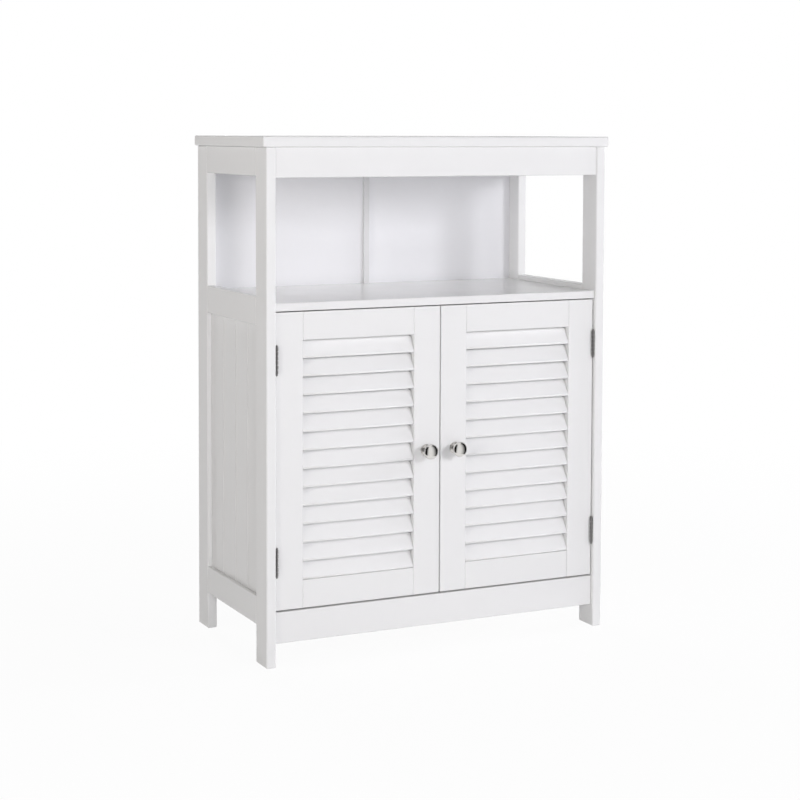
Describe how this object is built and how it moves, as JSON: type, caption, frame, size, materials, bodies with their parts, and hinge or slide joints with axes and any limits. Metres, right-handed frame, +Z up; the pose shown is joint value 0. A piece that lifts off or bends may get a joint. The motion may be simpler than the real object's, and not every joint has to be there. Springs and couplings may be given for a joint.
{
  "type": "louvred door cabinet",
  "caption": "Narrow standing cabinet with an open bay above a cupboard closed by hinged louvred doors, on flat legs, with beaded side panels.",
  "frame": {"origin": "on the floor, in the middle of the whole footprint, with the knobs counted", "axes": "+X to the right as seen from the front, +Y to the back, +Z up"},
  "size_m": [0.6, 0.318, 0.8],
  "materials": {
    "white_lacquer": "white satin lacquer on smooth board",
    "back_sheet": "white faced thin board",
    "white_plastic": "white moulded plastic",
    "knob_metal": "satin nickel",
    "hinge_metal": "nickel plated steel",
    "fitting_steel": "zinc plated steel",
    "magnet": "dull dark grey ferrite"
  },
  "bodies": {
    "carcass": {"top_board": "white_lacquer", "front_apron": "white_lacquer", "front_plinth": "white_lacquer", "middle_board": "white_lacquer", "bottom_board": "white_lacquer", "inner_shelf": "white_lacquer", "leg_front_left": "white_lacquer", "leg_front_right": "white_lacquer", "leg_back_left": "white_lacquer", "leg_back_right": "white_lacquer", "side_rail_top_left": "white_lacquer", "side_rail_top_right": "white_lacquer", "side_rail_middle_left": "white_lacquer", "side_rail_middle_right": "white_lacquer", "side_rail_bottom_left": "white_lacquer", "side_rail_bottom_right": "white_lacquer", "side_panel_left": "white_lacquer", "side_panel_right": "white_lacquer", "back_panel_left": "back_sheet", "back_panel_right": "back_sheet", "back_joint_strip": "white_plastic", "shelf_pin_front_left": "fitting_steel", "shelf_pin_front_right": "fitting_steel", "shelf_pin_back_left": "fitting_steel", "shelf_pin_back_right": "fitting_steel", "magnetic_catch_body": "white_plastic", "magnetic_catch_magnet_left": "magnet", "magnetic_catch_magnet_right": "magnet", "hinge_leg_leaf_upper_left": "hinge_metal", "hinge_leg_leaf_upper_right": "hinge_metal", "hinge_leg_leaf_lower_left": "hinge_metal", "hinge_leg_leaf_lower_right": "hinge_metal", "hinge_pin_upper_left": "hinge_metal", "hinge_pin_upper_right": "hinge_metal", "hinge_pin_lower_left": "hinge_metal", "hinge_pin_lower_right": "hinge_metal"},
    "left_door": {"left_door_hinge_stile_with_louvres": "white_lacquer", "left_door_meeting_stile": "white_lacquer", "left_door_top_rail": "white_lacquer", "left_door_bottom_rail": "white_lacquer", "left_door_knob": "knob_metal", "left_door_knob_screw": "fitting_steel", "left_door_strike_plate": "fitting_steel", "hinge_door_leaf_upper_left": "hinge_metal", "hinge_door_leaf_lower_left": "hinge_metal"},
    "right_door": {"right_door_hinge_stile_with_louvres": "white_lacquer", "right_door_meeting_stile": "white_lacquer", "right_door_top_rail": "white_lacquer", "right_door_bottom_rail": "white_lacquer", "right_door_knob": "knob_metal", "right_door_knob_screw": "fitting_steel", "right_door_strike_plate": "fitting_steel", "hinge_door_leaf_upper_right": "hinge_metal", "hinge_door_leaf_lower_right": "hinge_metal"}
  },
  "joints": [
    {"name": "left_door_hinge", "type": "hinge", "parent": "carcass", "child": "left_door", "pos_m": [-0.2765, -0.136, 0], "axis": [0, 0, -1], "range_deg": [0, 170]},
    {"name": "right_door_hinge", "type": "hinge", "parent": "carcass", "child": "right_door", "pos_m": [0.2765, -0.136, 0], "axis": [0, 0, 1], "range_deg": [0, 170]}
  ]
}
